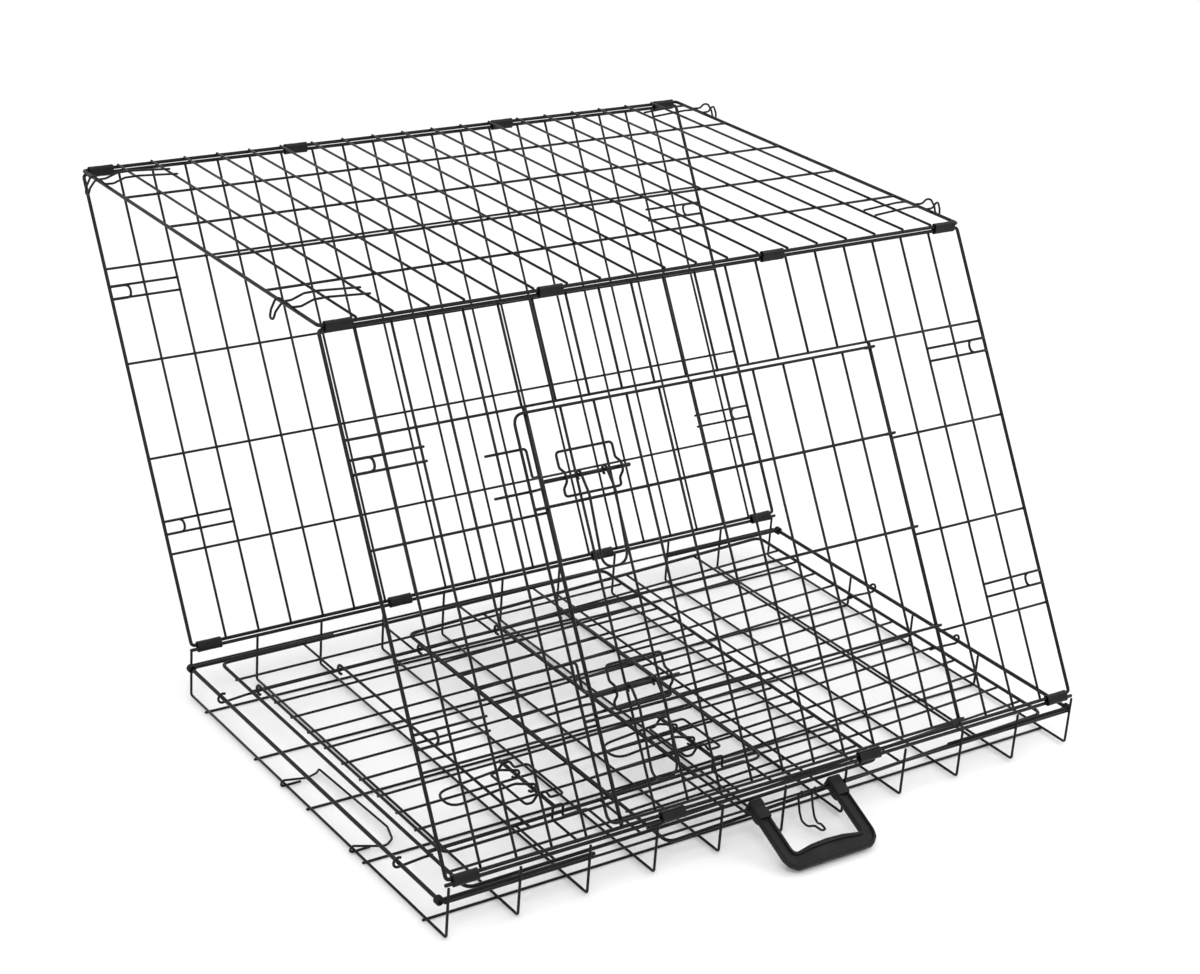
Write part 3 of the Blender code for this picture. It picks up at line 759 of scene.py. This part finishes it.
def door(node, place, hinge_x, free_x, bars, columns):
    """A door leaf whose bars curl round the hinge jamb at one end and lap the other jamb."""
    away = math.copysign(1, free_x - hinge_x)
    edge = free_x + away * DOOR_LAP
    inner = DOOR_OUT - BAR_WIRE - GRID_WIRE + WELD
    curl = [(hinge_x - away * a, out) for a, out in arc((0, 0), DOOR_OUT, 90, -130, 14)]
    top, bottom = max(bars), min(bars)

    def curled(height):
        return [panel(x, out, height) for x, out in curl]

    shape = Shape()
    corners = [panel(edge, DOOR_OUT, top), panel(edge, DOOR_OUT, bottom)]
    shape.tube(list(reversed(curled(top))) + corners + curled(bottom), BAR_WIRE, bend=DOOR_CORNER)
    for height in bars:
        if bottom < height < top:
            shape.tube([panel(edge, DOOR_OUT, height)] + curled(height), BAR_WIRE)
    for x in columns:
        shape.tube([panel(x, inner, bottom - STUB), panel(x, inner, top + STUB)], GRID_WIRE)
        for height in bars:
            weld(shape, x, -(DOOR_OUT + inner) / 2, height)
    finish_piece(shape, node, place, WIRE_BLACK)


def latch(prefix, place, jamb_x, away, height):
    """A latch's bolt, guide, keeper and pull, beside the jamb."""
    def at(along, out, up):
        return panel(jamb_x + away * along, out, height + up)

    latch_bolt(f"{prefix}_bolt", place, at)
    latch_guide(f"{prefix}_guide", place, at)
    latch_keeper(f"{prefix}_keeper", place, at)
    latch_pull(f"{prefix}_handle", place, at)


def latch_bolt(node, place, at):
    bar = Shape()
    bar.tube([at(along, BOLT_OUT, 0) for along in BOLT_SPAN], BOLT_RADIUS)
    finish_piece(bar, node, place, WIRE_BLACK)


def latch_guide(node, place, at):
    """A closed loop of wire on the door that bulges out over the bolt."""
    low_out = DOOR_OUT - BAR_WIRE + WELD + GRID_WIRE + CLEARANCE
    high_out = BOLT_OUT + BOLT_RADIUS + GUIDE_GAP + GRID_WIRE
    near, far = GUIDE_SPAN
    crest, foot = GUIDE_BULGE
    bulge = [(-GUIDE_BELOW, low_out), (-foot, low_out), (-crest, high_out)]
    bulge += [(crest, high_out), (foot, low_out), (GUIDE_ABOVE, low_out)]
    loop = [at(near, out, up) for up, out in bulge] + [at(far, out, up) for up, out in reversed(bulge)]
    guide = Shape()
    guide.tube(loop, GRID_WIRE, bend=GUIDE_CORNER, closed=True)
    finish_piece(guide, node, place, WIRE_BLACK)


def latch_keeper(node, place, at):
    """A wire on the panel whose eye takes the bolt."""
    path = [
        at(KEEPER_ALONG, 0, KEEPER_ABOVE),
        at(EYE_ALONG, 0, KEEPER_ABOVE),
        at(EYE_ALONG, 0, EYE_HALF),
        at(EYE_ALONG, EYE_OUT, EYE_HALF),
        at(EYE_ALONG, EYE_OUT, -EYE_HALF),
        at(EYE_ALONG, 0, -EYE_HALF),
        at(KEEPER_ALONG, 0, -EYE_HALF),
    ]
    keeper = Shape()
    keeper.tube(path, GRID_WIRE, bend=KEEPER_CORNER)
    finish_piece(keeper, node, place, WIRE_BLACK)


def latch_pull(node, place, at):
    """A long wire loop that hangs on the bolt by two curls."""
    leg = arc((BOLT_OUT, 0), CURL_RADIUS, 250, 0, 14)
    leg += [(BOLT_OUT + out, up) for out, up in PULL_BENDS]
    one, two = HANDLE_LEGS
    path = [at(one, out, up) for out, up in leg]
    path += [at(two, out, up) for out, up in reversed(leg)]
    pull = Shape()
    pull.tube(path, GRID_WIRE, bend=PULL_CORNER)
    finish_piece(pull, node, place, WIRE_BLACK)


# ---- carry handle, fold hook and tray stop ----

LOW_WIRE = Vector(JOINTS["carry_handle_swing"]["pos_m"])
LOW_WIRE_PLACE = Matrix.Translation(LOW_WIRE - Vector((CARRY_X, 0, 0)))


def carry_handle():
    """A moulded grip: flat legs and an arched bar with soft edges and a channel, on two snap blocks."""
    def at(x, reach, lift):
        y = -reach * math.cos(CARRY_DROP) - lift * math.sin(CARRY_DROP)
        z = -reach * math.sin(CARRY_DROP) + lift * math.cos(CARRY_DROP)
        return (CARRY_X + x, y, z)

    outer = list(CARRY_OUTER) + [(-x, reach) for x, reach in reversed(CARRY_OUTER)]
    inner = list(CARRY_INNER) + [(-x, reach) for x, reach in reversed(CARRY_INNER[:-1])]
    spread = evenly(rounded_flat(outer, GRIP_OUTER_CORNER), CARRY_RINGS)
    close = evenly(rounded_flat(inner, GRIP_INNER_CORNER), CARRY_RINGS)
    rings = []
    for (outer_x, outer_y), (inner_x, inner_y) in zip(spread, close):
        rings.append([
            at(inner_x + (outer_x - inner_x) * across, inner_y + (outer_y - inner_y) * across, lift)
            for across, lift in C_SECTION
        ])
    shape = Shape()
    shape.loft(rings)
    for x in (-CARRY_LEG, CARRY_LEG):
        snap_block(shape, x, at)
    finish_piece(shape, "carry_handle", LOW_WIRE_PLACE, PLASTIC_BLACK)


def rounded_flat(points, radius):
    """A flat outline with its corners rounded."""
    return [(point.x, point.y) for point in filleted([(x, y, 0) for x, y in points], radius, False)]


def evenly(points, count):
    """The line resampled to evenly spaced points."""
    points = np.asarray(points)
    steps = np.hypot(*np.diff(points, axis=0).T)
    run = np.concatenate([[0.0], np.cumsum(steps)])
    where = np.linspace(0.0, run[-1], count)
    return np.column_stack([np.interp(where, run, points[:, axis]) for axis in (0, 1)]).tolist()


def c_section():
    """The grip's section, from its inner edge (0) to its outer edge (1): rounded, with a channel above."""
    half, soft = CARRY_HALF_THICK, CARRY_SOFT
    across = (0.0, 0.02, 0.10, 0.90, 0.98, 1.0, 1.0, 0.98, 0.90, 0.84, 0.81, 0.25, 0.22, 0.10, 0.02, 0.0)
    under = (-half + soft, -half + soft * 0.4, -half)
    over = (half - soft, half - soft * 0.4, half, half)
    floor = half - CHANNEL_DEPTH
    lifts = under + under[::-1] + over + (floor, floor) + over[::-1]
    return tuple(zip(across, lifts))


C_SECTION = c_section()


def snap_block(shape, x, at):
    """The chunky clamp that snaps round the wire: a rounded block with a raised band and a lip."""
    half, wide, soft = SNAP_HALF_WIDTH, SNAP_HALF_HEIGHT, SNAP_SOFT
    outline = []
    for cx, cy, start in ((1, 1, 0), (-1, 1, 90), (-1, -1, 180), (1, -1, 270)):
        outline += arc((cx * (half - soft), cy * (wide - soft)), soft, start, start + 90, 3)
    rings = []
    for reach, swell in SNAP_STATIONS:
        rings.append([at(x + px * swell, reach, lift * swell) for px, lift in outline])
    shape.loft(rings)


def fold_hook():
    """The wire hook that holds the folded crate shut, curled round the wall's middle wire."""
    curl = arc((0, 0), FOLD_HOOK_CURL, 110, 300, 12)
    profile = [(y, z, FOLD_HOOK_HALF) for y, z in curl] + list(FOLD_HOOK_BENDS)
    there = [(FOLD_HOOK_X - half, y, z) for y, z, half in profile]
    back = [(FOLD_HOOK_X + half, y, z) for y, z, half in reversed(profile)]
    shape = Shape()
    shape.tube(there + back, HOOK_WIRE, bend=FOLD_HOOK_CORNER)
    finish_piece(shape, "fold_hook", LOW_WIRE_PLACE, WIRE_BLACK)


def tray_stop():
    """The loop that keeps a tray in, curled round the base's leftmost cross wire."""
    hook = list(TRAY_STOP_TAIL) + arc((0, 0), TRAY_STOP_CURL, 205, 80, 9)
    near, far = TRAY_STOP_YS
    there = [(x, near, z) for x, z in hook]
    back = [(x, far, z) for x, z in reversed(hook)]
    bends = [(x, y, TRAY_STOP_RISE) for x, y in TRAY_STOP_BENDS]
    shape = Shape()
    shape.tube(there + bends + back, HOOK_WIRE, bend=TRAY_STOP_CORNER)
    place = Matrix.Translation(JOINTS["tray_stop_swing"]["pos_m"])
    finish_piece(shape, "tray_stop", place, WIRE_BLACK)


# ---- studio ----

CAMERA_AT = Vector((-1.7072, -2.2341, 1.5415))
CAMERA_AIM = Vector((0.0592, 0.1820, 0.2366))
CAMERA_ROLL = math.radians(4.23)
CAMERA_LENS = 76.57
SENSOR_WIDTH = 36.0
FLOOR_SIZE = 40.0
PAPER_WHITE = 0.94
PAPER_ROUGHNESS = 0.9
PAPER_SPECULAR = 0.2
SKY_STRENGTH = 1.02
# Each lamp's name, place in metres, width in metres and power in watts
LAMPS = (
    ("key", (-1.6, -2.2, 3.2), 2.2, 46.0),
    ("fill", (2.4, -0.8, 2.6), 2.6, 22.0),
)


def camera():
    data = bpy.data.cameras.new("camera")
    data.sensor_fit = "HORIZONTAL"
    data.sensor_width = SENSOR_WIDTH
    data.lens = CAMERA_LENS
    data.clip_start = 0.05
    made = bpy.data.objects.new("camera", data)
    aim = (CAMERA_AIM - CAMERA_AT).to_track_quat("-Z", "Y").to_matrix().to_4x4()
    made.matrix_world = Matrix.Translation(CAMERA_AT) @ aim @ Matrix.Rotation(CAMERA_ROLL, 4, "Z")
    bpy.context.scene.collection.objects.link(made)
    bpy.context.scene.camera = made


def studio():
    """A white paper floor under a white sky, with two soft lamps."""
    bpy.ops.mesh.primitive_plane_add(size=FLOOR_SIZE, location=(0, 0, 0))
    floor = bpy.context.object
    floor.name = "floor"
    floor.data.materials.append(white_paper())
    world = bpy.data.worlds.new("studio")
    world.use_nodes = True
    sky = world.node_tree.nodes["Background"]
    sky.inputs["Color"].default_value = (1.0, 1.0, 1.0, 1.0)
    sky.inputs["Strength"].default_value = SKY_STRENGTH
    bpy.context.scene.world = world
    for name, place, size, power in LAMPS:
        soft_light(name, place, size, power)
    bpy.context.scene.view_settings.view_transform = "Standard"


def white_paper():
    paper = bpy.data.materials.new("white_paper")
    paper.use_nodes = True
    shader = paper.node_tree.nodes["Principled BSDF"]
    shader.inputs["Base Color"].default_value = (PAPER_WHITE, PAPER_WHITE, PAPER_WHITE, 1.0)
    shader.inputs["Roughness"].default_value = PAPER_ROUGHNESS
    shader.inputs["Specular IOR Level"].default_value = PAPER_SPECULAR
    return paper


def soft_light(name, place, size, power):
    """A square area lamp that points at the middle of the base."""
    data = bpy.data.lights.new(name, "AREA")
    data.size = size
    data.energy = power
    made = bpy.data.objects.new(name, data)
    made.location = place
    made.rotation_euler = (-Vector(place)).to_track_quat("-Z", "Y").to_euler()
    bpy.context.scene.collection.objects.link(made)


def base():
    base_floor()
    base_posts()
    base_wall("base_front_wall", -1)
    base_wall("base_back_wall", 1)
    end_rod("left_end_rod", -1, LEFT_ROD)
    end_rod("right_end_rod", 1, RIGHT_ROD)


def sides_and_top():
    side_panel("front_panel", FRONT_PLACE, FRONT_JAMB)
    side_panel("back_panel", BACK_PLACE)
    top_panel()
    for end, end_name in ((-1, "left"), (1, "right")):
        for side, side_name in ((-1, "front"), (1, "back")):
            top_hook(f"top_hook_{end_name}_{side_name}", end, side)
    hinge_clips()


def end_panels():
    end_panel("left_end_panel", LEFT_PLACE, KNUCKLE_COLUMNS["left"], True)
    end_panel("right_end_panel", RIGHT_PLACE, KNUCKLE_COLUMNS["right"], False)


def front_doorway():
    free, hinge = (column_x(k) for k in FRONT_JAMB)
    columns = [column_x(k) for k in range(FRONT_JAMB[0] + 1, FRONT_JAMB[1])]
    door("front_door", FRONT_PLACE, hinge, free, FRONT_DOOR_BARS, columns)
    for label, height in FRONT_LATCHES:
        latch(f"front_{label}_latch", FRONT_PLACE, free, 1, height)


def end_doorway():
    jamb = END_JAMB * END_PITCH
    columns = [k * END_PITCH for k in range(1 - END_JAMB, END_JAMB)]
    door("end_door", LEFT_PLACE, -jamb, jamb, END_DOOR_BARS, columns)
    for label, height in END_LATCHES:
        latch(f"end_{label}_latch", LEFT_PLACE, jamb, -1, height)


def main():
    camera()
    studio()
    base()
    sides_and_top()
    end_panels()
    front_doorway()
    end_doorway()
    carry_handle()
    fold_hook()
    tray_stop()


main()
